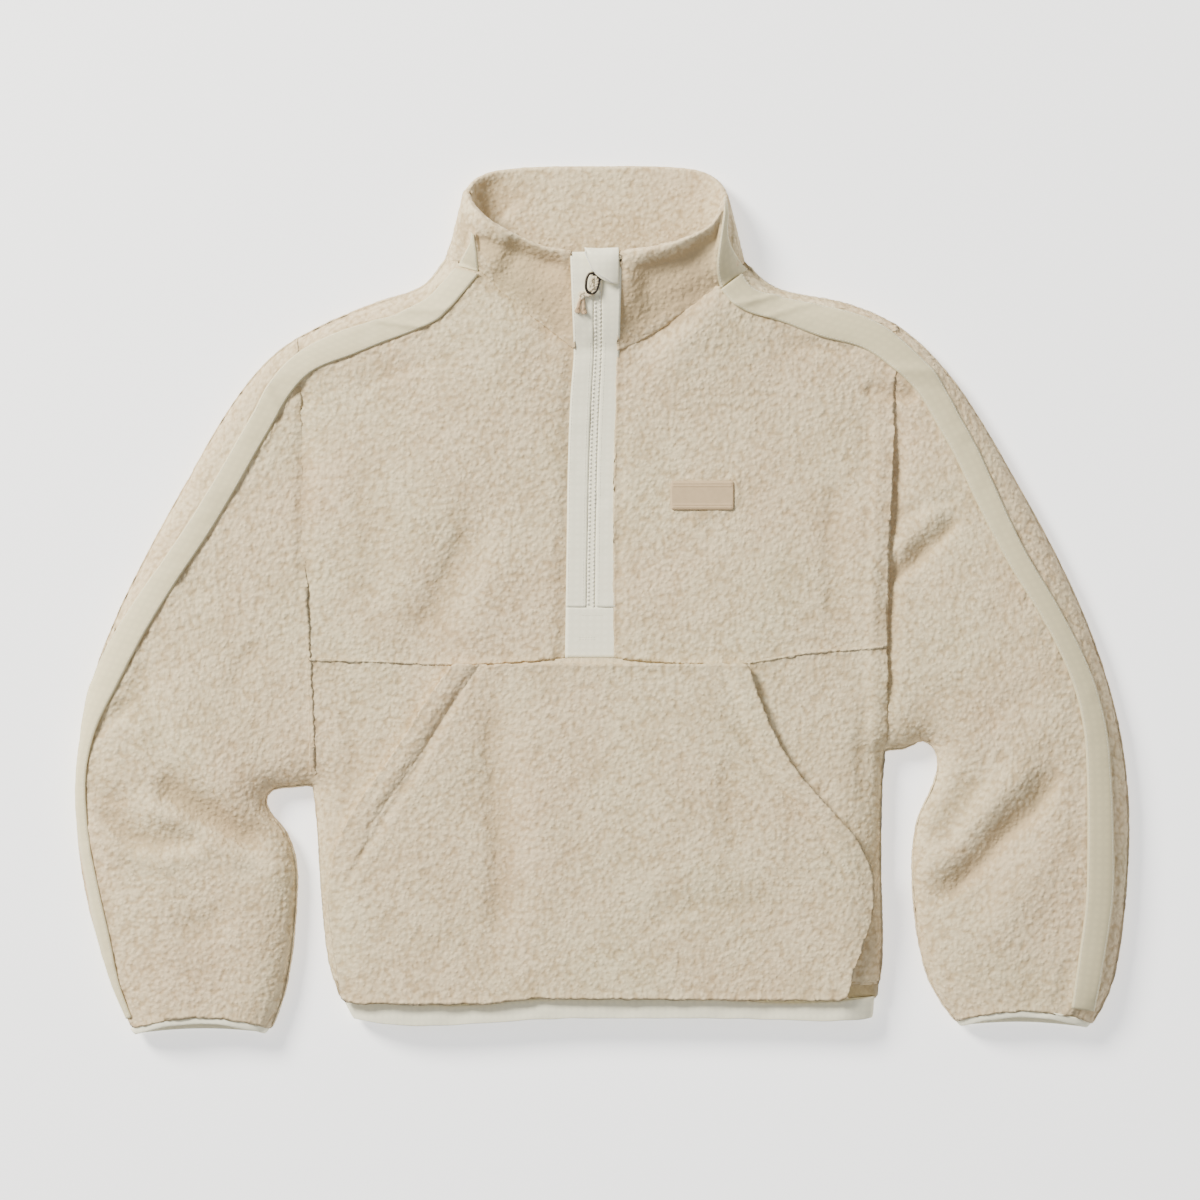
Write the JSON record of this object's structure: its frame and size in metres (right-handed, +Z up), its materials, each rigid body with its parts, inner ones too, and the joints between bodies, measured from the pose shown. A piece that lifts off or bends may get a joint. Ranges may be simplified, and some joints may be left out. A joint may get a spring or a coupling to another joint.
{
  "type": "fleece pullover",
  "caption": "Half-zip sherpa fleece pullover with stand collar, kangaroo pocket, taped shoulders and bound cuffs, laid flat on its back.",
  "frame": {"origin": "centre of the bounding box's bottom face, on the surface the garment lies on", "axes": "+X across the garment towards the sleeve on the right of the picture, +Y towards the collar, +Z up from the surface"},
  "size_m": [0.8692, 0.715, 0.0559],
  "materials": {
    "fleece": "nubbly cream pile",
    "shoulder_tape": "flat woven, greenish cream",
    "white_tape": "flat woven, off-white",
    "teeth": "moulded, satin",
    "gunmetal": "dark plated",
    "cord": "twisted cotton",
    "label": "embossed border, bare"
  },
  "bodies": {
    "garment": {"front_left": "fleece", "front_right": "fleece", "front_lower": "fleece", "back": "fleece", "pocket": "fleece", "sleeve_left_front": "fleece", "sleeve_left_back": "fleece", "sleeve_right_front": "fleece", "sleeve_right_back": "fleece", "collar_left": "fleece", "collar_back": "fleece", "collar_right": "fleece", "tape_left": "shoulder_tape", "tape_right": "shoulder_tape", "tape_left_collar": "shoulder_tape", "tape_right_collar": "shoulder_tape", "cuff_binding_left": "white_tape", "cuff_binding_right": "white_tape", "hem_band": "white_tape", "zip_placket_left": "white_tape", "zip_placket_right": "white_tape", "zip_placket_foot": "white_tape", "chin_guard": "white_tape", "zip_chain": "teeth", "zip_slider": "gunmetal", "label": "label"},
    "pull": {"pull_ring": "gunmetal", "pull_cord": "cord"}
  },
  "joints": [
    {"name": "pull_hinge", "type": "hinge", "parent": "garment", "child": "pull", "pos_m": [-0.00147, 0.26434, 0.04994], "axis": [-1, 0, 0], "range_deg": [0, 45]}
  ]
}
